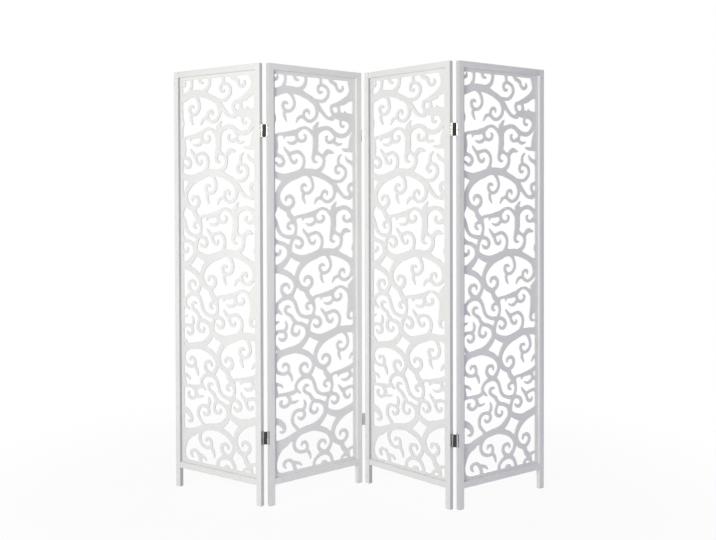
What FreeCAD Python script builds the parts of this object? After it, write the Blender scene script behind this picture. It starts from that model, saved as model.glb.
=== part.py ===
import FreeCAD, Part
import math
import os

# A folding screen of four framed panels with a cut-out scroll board in each, standing in a zigzag.
# +Z is up, -Y is the side it is seen from, and the origin is at the middle of its footprint on the floor.

# Overall sizes
screen_height = 1790.0
panel_width = 475.0
frame_thickness = 19.0
stile_width = 25.0
rail_height = 25.0
leg_height = 83.0

# How the board and the rails are let into the frame
rebate_depth = 6.0
rebate_width = 6.0
board_thickness = 5.0
tenon_length = 16.0
tenon_thickness = 6.0
tenon_shoulder = 4.0

# Border of the board that shows inside the frame, left solid round the scroll
border_at_sides = 14.0
border_at_top = 14.0
border_at_bottom = 12.0

# Two-way hinges: two pins on a link, one near each panel's edge
pin_spacing = 20.0
pin_standoff = 3.2
pin_diameter = 2.6
barrel_diameter = 5.2
hinge_height = 52.0
link_web_thickness = 1.8
link_web_gap = 0.7
leaf_width = 14.0
leaf_thickness = 1.5
leaf_neck_thickness = 2.2
pin_running_clearance = 0.05
knuckle_end_clearance = 0.25
pin_tail = 0.6
upper_hinge_height = 1518.0
lower_hinge_height = 277.0

# Which way each panel runs, in degrees from +X, from panel 1 at the left to panel 4 at the right
panel_headings = [-33.0, 38.0, -45.0, 34.0]

# The scroll was drawn on squared paper: so many squares cover the panel's width and its height.
# After one repeat the drawing is the same again, further down by repeat_down and across by repeat_across.
paper_across_shares = 445.0
paper_down_shares = 1790.0
repeat_across_shares = 85.5
repeat_down_shares = 337.0
moved_across_shares = 7.0
moved_down_shares = 1.5
repeats_above = 4
repeats_below = 4
curve_steps = 4

# How closely straight edges follow the drawn curves, and the smallest stroke and opening that are cut
curve_tolerance = 0.8
outline_tolerance = 4.0
least_bend = 8.0
greatest_bend = 75.0
least_stroke = 4.0
least_opening = 12.0

# One repeat of the scroll. Each stroke is a run of (across, down, width) in squares of that paper, counted
# from the top left corner of a panel's front, and is drawn as one smooth band through its places.
scroll_stroke_shares = {
    "main stem": [
        (88, 748, 16.5), (98, 768, 20), (121, 785, 26), (158, 795, 32), (200, 787, 34), (245, 772, 31),
        (300, 773, 30), (344, 790, 24), (375, 806, 25), (400, 828, 23), (420, 851, 17.5), (444, 874, 14.5),
        (472, 880, 15.5)],
    "right stem": [(462, 880, 12.5), (485, 866, 25), (515, 866, 33), (545, 868, 36), (575, 872, 39)],
    "stem thorn": [(541, 858, 13.5), (537, 848, 8.5), (531, 842, 3.5)],
    "ring left side": [
        (490, 866, 15.5), (476, 856, 15.5), (467, 843, 15.5), (467, 830, 15.5), (474, 822, 15.5),
        (487, 819, 17.5), (506, 812, 22), (527, 803, 27), (546, 790, 27), (575, 778, 31)],
    "ring right side": [(498, 818, 15.5), (504, 834, 14.5), (504, 850, 18.5), (498, 864, 23)],
    "low curl": [
        (517, 878, 13.5), (512, 890, 13.5), (513, 901, 13.5), (519, 908, 13.5), (526, 909, 11.5),
        (531, 905, 6.5)],
    "low curl side": [(545, 876, 21), (558, 890, 18.5), (563, 908, 15.5), (556, 928, 22)],
    "wave": [
        (390, 977, 28), (391, 950, 27), (407, 931, 22), (430, 921, 18.5), (450, 920, 18.5),
        (468, 928, 18.5), (482, 940, 21), (503, 948, 20), (525, 949, 20), (543, 941, 18.5), (559, 924, 20),
        (577, 897, 21)],
    "wave curl": [
        (478, 938, 14.5), (485, 955, 13.5), (480, 970, 13.5), (466, 979, 13.5), (449, 978, 13.5),
        (441, 968, 14.5), (441, 959, 12.5), (447, 954, 7.5)],
    "wave tail": [(472, 972, 14.5), (485, 980, 14.5), (497, 987, 13.5), (510, 986, 10.5), (520, 982, 4.5)],
    "edge stem": [(586, 927, 23), (574, 955, 29), (567, 980, 30), (566, 1003, 33)],
    "edge tail": [(570, 1010, 17.5), (541, 1010, 15.5), (527, 1008, 11.5), (519, 1005, 4.5)],
    "top hook": [(451, 699, 4.5), (456, 711, 11.5), (467, 721, 15.5), (480, 726, 16.5), (491, 734, 15.5)],
    "top curl": [
        (482, 728, 13.5), (491, 740, 13.5), (496, 750, 13.5), (506, 757, 14.5), (517, 755, 14.5),
        (524, 747, 12.5), (523, 738, 8.5), (518, 735, 4.5)],
    "top side": [(562, 692, 31), (565, 720, 34), (571, 742, 32), (568, 768, 34), (549, 789, 28)],
    "big curl": [
        (385, 806, 13.5), (420, 808, 14.5), (439, 798, 14.5), (452, 778, 14.5), (450, 757, 14.5),
        (437, 744, 13.5), (419, 739, 13.5), (405, 746, 13.5), (401, 758, 14.5), (405, 768, 14.5),
        (414, 772, 12.5), (422, 767, 7.5)],
    "big curl tail": [
        (418, 739, 14.5), (415, 722, 14.5), (417, 708, 12.5), (424, 698, 9.5), (433, 692, 4.5)],
    "comma arc": [
        (303, 684, 26), (320, 693, 13.5), (336, 702, 14.5), (344, 716, 15.5), (343, 733, 16.5),
        (336, 749, 17.5), (321, 762, 18.5), (300, 770, 22)],
    "leaf hook": [
        (341, 708, 16.5), (350, 693, 18.5), (361, 683, 21), (371, 682, 18.5), (381, 685, 12.5),
        (391, 686, 5.5)],
    "post": [
        (304, 587, 29), (304, 622, 29), (304, 652, 29), (301, 677, 27), (296, 695, 21), (291, 710, 16.5),
        (294, 722, 14.5), (303, 728, 11.5), (312, 727, 5.5)],
    "post nub": [(309, 661, 11.5), (317, 662, 5.5)],
    "post spur": [(387, 937, 26), (391, 917, 18.5), (398, 904, 12.5), (405, 895, 4.5)],
    "sill": [
        (205, 966, 13.5), (215, 957, 13.5), (233, 954, 13.5), (255, 953, 20), (285, 947, 24),
        (302, 940, 20), (319, 928, 13.5), (339, 923, 12.5), (358, 930, 13.5), (372, 942, 16.5),
        (386, 957, 24)],
    "sill thorn": [(242, 956, 14.5), (243, 965, 10.5), (240, 972, 4.5)],
    "sill curl": [
        (297, 950, 17.5), (302, 966, 15.5), (310, 976, 14.5), (322, 980, 13.5), (335, 976, 13.5),
        (342, 966, 13.5), (341, 957, 11.5), (334, 952, 6.5)],
    "sill tail": [(304, 973, 14.5), (291, 986, 14.5), (277, 991, 13.5), (265, 989, 9.5), (256, 984, 4.5)],
    "fork": [
        (146, 914, 22), (171, 928, 22), (180, 948, 22), (196, 967, 25), (207, 988, 16.5), (210, 1006, 13.5),
        (206, 1024, 14.5), (200, 1040, 17.5)],
    "comma": [
        (198, 979, 15.5), (181, 981, 13.5), (172, 989, 13.5), (172, 998, 13.5), (179, 1005, 11.5),
        (186, 1007, 5.5)],
    "left side of dome": [
        (205, 787, 29), (178, 800, 28), (154, 818, 27), (136, 842, 23), (127, 868, 22), (131, 893, 24),
        (147, 914, 22), (170, 921, 18.5), (188, 914, 16.5), (198, 900, 16.5), (198, 886, 15.5),
        (192, 876, 15.5), (181, 871, 15.5), (169, 874, 14.5), (163, 882, 12.5), (164, 891, 6.5)],
    "right side of dome": [
        (381, 808, 20), (393, 832, 18.5), (397, 856, 16.5), (390, 877, 15.5), (376, 890, 14.5),
        (359, 895, 14.5), (344, 889, 13.5), (334, 878, 13.5), (333, 865, 13.5), (339, 854, 13.5),
        (350, 849, 13.5), (358, 855, 12.5), (359, 866, 6.5)],
    "dome side tail": [
        (336, 881, 14.5), (322, 878, 13.5), (309, 884, 13.5), (302, 894, 10.5), (297, 905, 4.5)],
    "dome curl": [
        (262, 777, 15.5), (278, 792, 14.5), (287, 810, 14.5), (290, 830, 14.5), (281, 849, 13.5),
        (264, 859, 13.5), (247, 856, 14.5), (238, 845, 14.5), (237, 833, 14.5), (243, 825, 14.5),
        (252, 824, 12.5), (260, 829, 6.5)],
    "dome curl tail": [
        (247, 859, 14.5), (243, 871, 14.5), (245, 882, 13.5), (250, 893, 9.5), (255, 902, 4.5)],
    "right side of arch": [
        (30, 832, 28), (62, 843, 24), (90, 856, 23), (111, 876, 20), (120, 902, 17.5), (113, 926, 17.5),
        (99, 945, 21)],
    "arch curl": [
        (96, 948, 20), (74, 943, 18.5), (60, 928, 16.5), (56, 913, 15.5), (62, 901, 15.5), (75, 895, 14.5),
        (86, 899, 13.5), (91, 908, 10.5), (91, 917, 4.5)],
    "left side of arch": [
        (0, 836, 28), (-26, 841, 26), (-47, 855, 22), (-58, 876, 17.5), (-58, 898, 15.5), (-47, 916, 15.5),
        (-28, 925, 14.5), (-9, 925, 14.5), (1, 917, 14.5), (3, 904, 13.5), (-1, 893, 13.5),
        (-11, 886, 13.5), (-22, 890, 12.5), (-25, 900, 6.5)],
    "arch tail": [(2, 922, 14.5), (12, 937, 14.5), (17, 951, 10.5), (19, 963, 4.5)],
    "left stem": [
        (-150, 880, 43), (-110, 876, 38), (-82, 863, 30), (-50, 850, 28), (-25, 839, 26), (0, 834, 27),
        (30, 831, 31), (55, 820, 27), (75, 802, 25), (89, 783, 22), (92, 762, 22), (84, 742, 18.5),
        (66, 730, 15.5)],
    "left side of heart": [
        (-36, 835, 16.5), (-50, 818, 13.5), (-63, 801, 14.5), (-67, 782, 15.5), (-62, 763, 15.5),
        (-47, 751, 14.5), (-28, 750, 14.5), (-14, 757, 14.5), (-9, 770, 14.5), (-13, 781, 14.5),
        (-24, 787, 14.5), (-34, 784, 12.5), (-40, 775, 5.5)],
    "heart tail": [(-18, 752, 14.5), (-9, 742, 14.5), (-6, 730, 13.5), (-8, 719, 10.5), (-12, 709, 4.5)],
    "crook": [
        (-27, 681, 5.5), (-37, 672, 12.5), (-48, 661, 14.5), (-50, 645, 14.5), (-41, 630, 14.5),
        (-23, 618, 16.5), (0, 612, 22), (19, 620, 18.5), (32, 635, 15.5), (39, 654, 15.5), (46, 674, 15.5),
        (57, 689, 14.5), (74, 698, 14.5), (92, 702, 17.5), (112, 702, 18.5), (130, 705, 15.5),
        (146, 712, 15.5), (155, 727, 15.5), (151, 739, 15.5), (142, 746, 15.5), (131, 745, 13.5),
        (124, 739, 10.5), (119, 732, 4.5)],
    "crook left": [
        (-44, 665, 13.5), (-66, 673, 18.5), (-88, 675, 16.5), (-115, 674, 13.5), (-150, 676, 14.5)],
    "eye curl": [
        (-92, 680, 13.5), (-81, 691, 14.5), (-77, 704, 16.5), (-84, 717, 15.5), (-98, 725, 14.5),
        (-111, 722, 15.5), (-120, 713, 15.5), (-119, 703, 13.5), (-113, 699, 7.5)],
    "eye tail": [(-79, 707, 16.5), (-66, 713, 14.5), (-52, 713, 11.5), (-38, 708, 4.5)],
    "left hook": [
        (-150, 776, 30), (-128, 784, 26), (-112, 797, 23), (-103, 811, 17.5), (-104, 822, 14.5),
        (-113, 828, 12.5), (-122, 826, 8.5)],
    "left curl": [
        (-97, 979, 6.5), (-105, 969, 12.5), (-106, 959, 14.5), (-99, 951, 14.5), (-86, 948, 13.5),
        (-74, 953, 14.5), (-65, 964, 15.5), (-58, 980, 16.5), (-53, 1003, 16.5)],
    "left curl tail": [(-66, 962, 14.5), (-46, 966, 13.5), (-32, 973, 11.5), (-23, 983, 4.5)],
    "vine": [
        (12, 655, 4.5), (6, 652, 10.5), (-3, 651, 13.5), (-11, 658, 14.5), (-12, 669, 14.5),
        (-5, 678, 13.5), (7, 686, 14.5), (18, 695, 15.5), (26, 709, 15.5), (41, 722, 16.5), (62, 728, 16.5),
        (80, 738, 18.5), (94, 753, 22)],
    "heart curl": [
        (32, 719, 14.5), (22, 735, 14.5), (18, 753, 14.5), (24, 766, 15.5), (36, 772, 15.5),
        (47, 769, 13.5), (52, 760, 11.5), (50, 751, 5.5)],
    "twig curl": [
        (155, 669, 4.5), (163, 681, 11.5), (174, 693, 14.5), (182, 706, 14.5), (187, 720, 14.5),
        (195, 730, 14.5), (205, 733, 13.5), (213, 726, 11.5), (213, 716, 5.5)],
    "twig arch": [
        (176, 698, 15.5), (195, 693, 14.5), (218, 687, 14.5), (234, 694, 14.5), (245, 707, 14.5),
        (249, 724, 14.5), (246, 744, 14.5), (238, 761, 18.5)],
    "heart wall": [(94, 760, 22), (98, 740, 17.5), (104, 720, 16.5), (114, 706, 15.5)],
    "left fall": [
        (-95, 876, 26), (-120, 889, 28), (-138, 912, 28), (-147, 945, 22), (-148, 970, 22),
        (-138, 992, 17.5), (-115, 1003, 15.5)],
}

# Worked out from the sizes above
board_back = frame_thickness / 2 - (rebate_depth - board_thickness)
rebate_front = frame_thickness / 2 - rebate_depth
bottom_rail_bottom = leg_height
bottom_rail_top = leg_height + rail_height
top_rail_bottom = screen_height - rail_height
board_left = stile_width - rebate_width
board_right = panel_width - stile_width + rebate_width
board_bottom = bottom_rail_top - rebate_width
board_top = top_rail_bottom + rebate_width
knuckle_height = (hinge_height - knuckle_end_clearance) / 2


def vector(x, y, z=0.0):
    return FreeCAD.Vector(x, y, z)


def block(x_low, x_high, y_low, y_high, z_low, z_high):
    """A box between the given faces."""
    return Part.makeBox(x_high - x_low, y_high - y_low, z_high - z_low, vector(x_low, y_low, z_low))


def leaf_recess(edge_x, inwards, hinge_z):
    """The pocket in a stile's edge that a hinge leaf is let into."""
    low, high = sorted((edge_x, edge_x + inwards * leaf_thickness))
    half = hinge_height / 2
    return block(low, high, -leaf_width / 2, leaf_width / 2, hinge_z - half, hinge_z + half)


def tenon(edge_x, inwards, rail_low):
    """The stub on a rail's end, which goes into the stile beside it."""
    low, high = sorted((edge_x, edge_x - inwards * tenon_length))
    y_low = -frame_thickness / 2 + tenon_shoulder
    z_low = rail_low + tenon_shoulder
    z_high = rail_low + rail_height - tenon_shoulder
    return block(low, high, y_low, y_low + tenon_thickness, z_low, z_high)


def stile(left, has_hinges):
    """A stile with its leg, the rebate for the board, two mortises and pockets for the hinge leaves."""
    low = 0.0 if left else panel_width - stile_width
    high = low + stile_width
    inner = high if left else low
    outer = low if left else high
    inwards = 1 if left else -1
    half = frame_thickness / 2
    body = block(low, high, -half, half, 0.0, screen_height)
    rebate_low, rebate_high = sorted((inner, inner - inwards * rebate_width))
    body = body.cut(block(rebate_low, rebate_high, rebate_front, half, board_bottom, board_top))
    for rail_low in (bottom_rail_bottom, top_rail_bottom):
        body = body.cut(tenon(inner, inwards, rail_low))
    if has_hinges:
        for hinge_z in (lower_hinge_height, upper_hinge_height):
            body = body.cut(leaf_recess(outer, inwards, hinge_z))
    return body


def rail(top):
    """A rail with a tenon at each end and the rebate for the board along its inner edge."""
    low = top_rail_bottom if top else bottom_rail_bottom
    half = frame_thickness / 2
    left = stile_width
    right = panel_width - stile_width
    body = block(left, right, -half, half, low, low + rail_height)
    body = body.fuse(tenon(left, 1, low)).fuse(tenon(right, -1, low))
    rebate_low = low if top else low + rail_height - rebate_width
    cut = block(left, right, rebate_front, half, rebate_low, rebate_low + rebate_width)
    return body.cut(cut).removeSplitter()


def cubic(before, start, end, after, t):
    """The value a share t of the way from start to end, on the cubic whose slopes follow their neighbours."""
    first = end - before
    second = 2 * before - 5 * start + 4 * end - after
    third = 3 * start - before - 3 * end + after
    return (2 * start + first * t + second * t ** 2 + third * t ** 3) / 2


def smooth_run(places):
    """Places along the curve that passes smoothly through the given (across, down, width)."""
    first = [2 * a - b for a, b in zip(places[0], places[1])]
    last = [2 * a - b for a, b in zip(places[-1], places[-2])]
    run = [first] + [list(place) for place in places] + [last]
    found = []
    for before, start, end, after in zip(run, run[1:], run[2:], run[3:]):
        for step in range(curve_steps):
            t = step / curve_steps
            found.append([cubic(a, b, c, d, t) for a, b, c, d in zip(before, start, end, after)])
    return found + [list(places[-1])]


def corners_kept(points, first, last, tolerance):
    """The numbers of the points, from first up to last, that keep the line within the tolerance."""
    along = points[last] - points[first]
    worst, at = 0.0, first
    for i in range(first + 1, last):
        offset = points[i] - points[first]
        away = along.cross(offset).Length / along.Length if along.Length else offset.Length
        if away > worst:
            worst, at = away, i
    if worst < tolerance:
        return [first]
    return corners_kept(points, first, at, tolerance) + corners_kept(points, at, last, tolerance)


def thinned(points):
    """One side of a stroke with only the points that its curve needs."""
    last = len(points) - 1
    return [points[i] for i in corners_kept(points, 0, last, curve_tolerance) + [last]]


def stroke_sides(places):
    """The two sides of a stroke, as points on the panel's front in millimetres."""
    across = panel_width / paper_across_shares
    down = screen_height / paper_down_shares
    middle = [vector(x * across, screen_height - y * down) for x, y, _ in smooth_run(places)]
    widths = [max(width * down, least_stroke) for _, _, width in smooth_run(places)]
    left, right = [], []
    for i, place in enumerate(middle):
        ahead = middle[min(i + 1, len(middle) - 1)] - middle[max(i - 1, 0)]
        side = vector(-ahead.y, ahead.x).normalize() * (widths[i] / 2)
        left.append(place + side)
        right.append(place - side)
    return thinned(left), thinned(right)


def flat_face(points):
    """The flat face inside a closed outline, always facing up."""
    area = sum(a.x * b.y - b.x * a.y for a, b in zip(points, points[1:] + points[:1]))
    ring = points if area > 0 else points[::-1]
    return Part.Face(Part.makePolygon(ring + ring[:1]))


def straight_edge(run):
    """The line that stands for a stretch of curve: parallel to its chord, with as much area on each side."""
    chord = run[-1] - run[0]
    bulge = sum((a - run[0]).cross(b - run[0]).z for a, b in zip(run, run[1:])) / 2
    sideways = vector(chord.y, -chord.x) * (bulge / chord.Length ** 2)
    return run[0] + sideways, chord


def crossing(line, other, place, tolerance):
    """Where two edges meet in a bend of the curve, or the given place where they meet in a corner."""
    (start, along), (other_start, other_along) = line, other
    turn = math.degrees(along.getAngle(other_along))
    if not least_bend < turn < greatest_bend:
        return place
    found = start + along * ((other_start - start).cross(other_along).z / along.cross(other_along).z)
    return found if found.distanceToPoint(place) < tolerance else place


def plain_ring(wire, tolerance):
    """A closed outline of few straight edges that follows the wire."""
    points = [vertex.Point for vertex in wire.OrderedVertexes]
    far = max(range(len(points)), key=lambda i: points[i].distanceToPoint(points[0]))
    points.append(points[0])
    last = len(points) - 1
    kept = corners_kept(points, 0, far, tolerance) + corners_kept(points, far, last, tolerance)
    edges = [straight_edge(points[i:j + 1]) for i, j in zip(kept, kept[1:] + [last])]
    return [crossing(before, edge, points[i], tolerance)
            for before, edge, i in zip(edges[-1:] + edges, edges, kept)]


def opening(wire):
    """The flat face of an opening, with finer edges where coarse ones would cross each other."""
    tolerance = outline_tolerance
    face = flat_face(plain_ring(wire, tolerance))
    while not face.isValid():
        tolerance = tolerance / 2
        face = flat_face(plain_ring(wire, tolerance))
    return face


def scroll_board():
    """The cut-out board: a solid border joined to every stroke of the scroll that lies inside it."""
    window_left = stile_width + border_at_sides
    window_right = panel_width - stile_width - border_at_sides
    window_bottom = bottom_rail_top + border_at_bottom
    window_top = top_rail_bottom - border_at_top
    outer = [vector(board_left, board_bottom), vector(board_right, board_bottom),
             vector(board_right, board_top), vector(board_left, board_top)]
    window = [vector(window_left, window_bottom), vector(window_right, window_bottom),
              vector(window_right, window_top), vector(window_left, window_top)]
    sheet = flat_face(outer)
    border = sheet.cut(flat_face(window))
    strokes = []
    for places in scroll_stroke_shares.values():
        left, right = stroke_sides(places)
        for repeat in range(-repeats_above, repeats_below + 1):
            squares_across = repeat * repeat_across_shares + moved_across_shares
            squares_down = repeat * repeat_down_shares + moved_down_shares
            step = vector(squares_across * panel_width / paper_across_shares,
                          -squares_down * screen_height / paper_down_shares)
            points = [point + step for point in left + right[::-1]]
            apart = (max(p.x for p in points) < window_left or min(p.x for p in points) > window_right
                     or max(p.y for p in points) < window_bottom or min(p.y for p in points) > window_top)
            if not apart:
                strokes.append(flat_face(points))
    joined = Part.makeShell(border.multiFuse(strokes).Faces).removeSplitter()
    kept = max(joined.common(sheet).Faces, key=lambda face: face.Area)
    openings = [wire for wire in kept.Wires if not wire.isSame(kept.OuterWire)]
    worth_cutting = [wire for wire in openings if Part.Face(wire).Area > least_opening ** 2]
    cut_out = sheet.cut([opening(wire) for wire in worth_cutting])
    print("board outline points", sum(len(wire.Edges) for wire in cut_out.Wires), len(cut_out.Faces))
    flat = cut_out.Faces[0].extrude(vector(0.0, 0.0, board_thickness))
    flat.rotate(vector(0.0, 0.0), vector(1.0, 0.0), 90)
    flat.translate(vector(0.0, board_back))
    return flat


def cylinder(diameter, x, y, z_low, z_high):
    return Part.makeCylinder(diameter / 2, z_high - z_low, vector(x, y, z_low))


def knuckle_span(hinge_z, upper):
    """The lowest and highest z of the upper or lower half of a hinge."""
    half = hinge_height / 2
    low = hinge_z + half - knuckle_height if upper else hinge_z - half
    return low, low + knuckle_height


def hinge_leaf(hinge_z, upper):
    """A leaf with one knuckle, in its upper or lower half, for a panel edge at x = 0 that faces +X."""
    half = hinge_height / 2
    body = block(-leaf_thickness, 0.0, -leaf_width / 2, leaf_width / 2, hinge_z - half, hinge_z + half)
    low, high = knuckle_span(hinge_z, upper)
    neck = block(0.0, pin_standoff, -leaf_neck_thickness / 2, leaf_neck_thickness / 2, low, high)
    knuckle = cylinder(barrel_diameter, pin_standoff, 0.0, low, high)
    bore = cylinder(pin_diameter + 2 * pin_running_clearance, pin_standoff, 0.0, low, high)
    return body.fuse(neck).fuse(knuckle).cut(bore).removeSplitter()


def hinge_link(hinge_z):
    """The link between two pins: a web along X from the first pin, and a barrel on each pin."""
    half = hinge_height / 2
    side = link_web_thickness / 2
    web_start = barrel_diameter / 2 + link_web_gap
    body = block(web_start, pin_spacing - web_start, -side, side, hinge_z - half, hinge_z + half)
    for x, upper in ((0.0, False), (pin_spacing, True)):
        low, high = knuckle_span(hinge_z, upper)
        near, far = sorted((x, pin_spacing / 2))
        neck = block(near, far, -side, side, low, high)
        bore = cylinder(pin_diameter, x, 0.0, low, high)
        body = body.fuse(neck).fuse(cylinder(barrel_diameter, x, 0.0, low, high)).cut(bore)
    return body.removeSplitter()


def hinge_pin(hinge_z):
    half = hinge_height / 2 + pin_tail
    return cylinder(pin_diameter, 0.0, 0.0, hinge_z - half, hinge_z + half)


def placed(shape, x, y, heading):
    """The shape turned about Z to the heading and moved to (x, y)."""
    turned = shape.copy()
    turned.rotate(vector(0.0, 0.0), vector(0.0, 0.0, 1.0), heading)
    turned.translate(vector(x, y))
    return turned


def ahead(heading, distance):
    """The step of a length along a heading."""
    return vector(math.cos(math.radians(heading)), math.sin(math.radians(heading))) * distance


def standing_places():
    """Where each panel starts and each pin stands, centred on the origin, as the zigzag is built up."""
    starts, pins = [], []
    here = vector(0.0, 0.0)
    for i, heading in enumerate(panel_headings):
        starts.append(here)
        here = here + ahead(heading, panel_width)
        if i + 1 < len(panel_headings):
            link_heading = (heading + panel_headings[i + 1]) / 2
            first = here + ahead(heading, pin_standoff)
            second = first + ahead(link_heading, pin_spacing)
            pins.append((first, second, link_heading))
            here = second + ahead(panel_headings[i + 1], pin_standoff)
    corners = []
    for start, heading in zip(starts, panel_headings):
        for along in (0.0, panel_width):
            for side in (-frame_thickness / 2, frame_thickness / 2):
                corners.append(start + ahead(heading, along) + ahead(heading + 90, side))
    middle = vector((min(c.x for c in corners) + max(c.x for c in corners)) / 2,
                    (min(c.y for c in corners) + max(c.y for c in corners)) / 2)
    return [s - middle for s in starts], [(a - middle, b - middle, h) for a, b, h in pins]


def write(name, shape):
    shape.exportStep("parts/" + name + ".step")
    print(name, shape.isValid(), round(shape.Volume))


def write_panels(starts):
    board = scroll_board()
    last = len(panel_headings) - 1
    for i, (start, heading) in enumerate(zip(starts, panel_headings)):
        pieces = {
            "left_stile": stile(True, i > 0),
            "right_stile": stile(False, i < last),
            "top_rail": rail(True),
            "bottom_rail": rail(False),
            "scroll_board": board,
        }
        for name, piece in pieces.items():
            write("panel_%d_%s" % (i + 1, name), placed(piece, start.x, start.y, heading))


def write_hinges(pins):
    for i, (first, second, link_heading) in enumerate(pins):
        left_heading = panel_headings[i]
        right_heading = panel_headings[i + 1] + 180
        left_edge = first - ahead(left_heading, pin_standoff)
        right_edge = second - ahead(right_heading, pin_standoff)
        for level, hinge_z in (("upper", upper_hinge_height), ("lower", lower_hinge_height)):
            name = "join_%d_%d_%s_" % (i + 1, i + 2, level)
            left_leaf = hinge_leaf(hinge_z, True)
            right_leaf = hinge_leaf(hinge_z, False)
            write(name + "left_leaf", placed(left_leaf, left_edge.x, left_edge.y, left_heading))
            write(name + "right_leaf", placed(right_leaf, right_edge.x, right_edge.y, right_heading))
            write(name + "link", placed(hinge_link(hinge_z), first.x, first.y, link_heading))
            write(name + "left_pin", placed(hinge_pin(hinge_z), first.x, first.y, link_heading))
            write(name + "right_pin", placed(hinge_pin(hinge_z), second.x, second.y, link_heading))
        print("pins of join", i + 1, i + 2, [round(v, 4) for v in (first.x, first.y, second.x, second.y)])


os.makedirs("parts", exist_ok=True)
starts, pins = standing_places()
write_panels(starts)
write_hinges(pins)
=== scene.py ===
import math
import bmesh
import bpy
import numpy as np
from mathutils import Matrix, Vector, geometry


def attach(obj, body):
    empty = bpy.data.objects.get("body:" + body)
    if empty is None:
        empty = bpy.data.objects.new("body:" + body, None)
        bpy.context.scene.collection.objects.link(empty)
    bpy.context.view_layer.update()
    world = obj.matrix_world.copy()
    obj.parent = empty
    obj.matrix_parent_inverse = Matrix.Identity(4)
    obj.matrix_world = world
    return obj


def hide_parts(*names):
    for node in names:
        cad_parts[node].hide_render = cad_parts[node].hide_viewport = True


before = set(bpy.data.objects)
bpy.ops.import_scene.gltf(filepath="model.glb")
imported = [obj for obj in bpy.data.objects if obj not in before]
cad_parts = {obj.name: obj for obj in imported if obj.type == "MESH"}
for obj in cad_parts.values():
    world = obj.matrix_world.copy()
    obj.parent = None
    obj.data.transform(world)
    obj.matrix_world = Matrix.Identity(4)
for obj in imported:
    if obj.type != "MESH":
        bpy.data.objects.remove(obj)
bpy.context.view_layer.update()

# Sizes that the solids have too, in metres
SCREEN_HEIGHT = 1.790
PANEL_WIDTH = 0.475
FRAME_THICKNESS = 0.019
STILE_WIDTH = 0.025
RAIL_HEIGHT = 0.025
LEG_HEIGHT = 0.083
REBATE_DEPTH = 0.006
REBATE_WIDTH = 0.006
BOARD_THICKNESS = 0.005
BORDER_AT_SIDES = 0.014
BORDER_AT_TOP = 0.014
BORDER_AT_BOTTOM = 0.012
PIN_SPACING = 0.020
PIN_STANDOFF = 0.0032
BARREL_RADIUS = 0.0026
HINGE_HEIGHTS = {"upper": 1.518, "lower": 0.277}
PANEL_HEADINGS = [-33.0, 38.0, -45.0, 34.0]

# Where the cut-out board and the window inside its border lie in a panel, worked out from those sizes
BOARD_LEFT, BOARD_RIGHT = STILE_WIDTH - REBATE_WIDTH, PANEL_WIDTH - STILE_WIDTH + REBATE_WIDTH
BOARD_BOTTOM, BOARD_TOP = LEG_HEIGHT + RAIL_HEIGHT - REBATE_WIDTH, SCREEN_HEIGHT - RAIL_HEIGHT + REBATE_WIDTH
BOARD_BACK = FRAME_THICKNESS / 2 - (REBATE_DEPTH - BOARD_THICKNESS)
BOARD_FRONT = BOARD_BACK - BOARD_THICKNESS
WINDOW_LEFT, WINDOW_RIGHT = STILE_WIDTH + BORDER_AT_SIDES, PANEL_WIDTH - STILE_WIDTH - BORDER_AT_SIDES
WINDOW_BOTTOM = LEG_HEIGHT + RAIL_HEIGHT + BORDER_AT_BOTTOM
WINDOW_TOP = SCREEN_HEIGHT - RAIL_HEIGHT - BORDER_AT_TOP

# Eased edges of the frames, and the sharpest bends that are shaded smooth
FRAME_EASING = 0.0011
FRAME_EASING_FROM = math.radians(40)
FRAME_WELD = 1e-6
BOARD_SMOOTH_BELOW = math.radians(38)
SCREW_SMOOTH_BELOW = math.radians(35)

# Countersunk screws in the hinge leaves: two to a leaf, with a cross recess. The rise and aside are how far
# they stand from the leaf's middle. The cone's share is of the head's radius and the rim's rise of its dome.
SCREW_RADIUS = 0.0022
SCREW_DOME = 0.00018
SCREW_DEPTH = 0.0009
SCREW_RISE = 0.013
SCREW_ASIDE = 0.0043
SCREW_RINGS = 12
SCREW_SPOKES = 48
SCREW_CONE_SHARE = 0.7
SCREW_RIM_RISE = 0.1
RECESS_DEPTH = 0.0006
RECESS_LENGTH = 0.0026
RECESS_WIDTH = 0.0005
RECESS_SLOPE = 0.0002

# Squared paper that the scroll is drawn on: squares across a panel and down it, and how far one repeat steps
PAPER_ACROSS = 445.0
PAPER_DOWN = 1790.0
SQUARE = np.array([PANEL_WIDTH / PAPER_ACROSS, -SCREEN_HEIGHT / PAPER_DOWN])
REPEAT_STEP = np.array([85.5, 337.0])
MOVED = np.array([7.0, 1.5])
REPEATS = range(-4, 5)
LEAST_STROKE = 0.003

# How finely the cut-out board is worked out: the steps along each span of a stroke, the grid's step and how
# many steps it goes past the board, how far past a stroke its distance is worked out, the saw's corner
# radius, the eased edge, the share of it that a face has to lie inside the line, and how near two points
# are one
STEPS_PER_SPAN = 8
GRID_STEP = 0.0022
GRID_MARGIN = 3
STROKE_MARGIN = 0.012
CORNER_ROUNDING = 0.0017
EASED_EDGE = 0.0006
CAP_SHARE = 0.3
SAME_POINT = 1e-7
MERGED_POINTS = 2e-6

# Satin lacquer: its two tones, the tones of painted shade on the left stile's wall beside the board and on
# the edges at the hinges, how far that painted shade reaches, how often brush marks, clouds and orange
# peel come in a metre, how rough it is and how high its marks are
LACQUER_TONES = ("EDECE8", "E4E3E1")
PAINTED_SHADE_ON_STILES = ((STILE_WIDTH, "BEBEC0"), (0.0, "D6D5D3"), (PANEL_WIDTH, "D6D5D3"))
PAINTED_SHADE_REACH = 0.0007
BRUSH_ALONG, BRUSH_ACROSS = 9.0, 330.0
CLOUDS, PEEL = 5.0, 620.0
LACQUER_ROUGH = (0.34, 0.46)
BRUSHED_RIPPLE, SPRAYED_RIPPLE = 0.00004, 0.00001
PEEL_RELIEF = 0.00002
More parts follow.
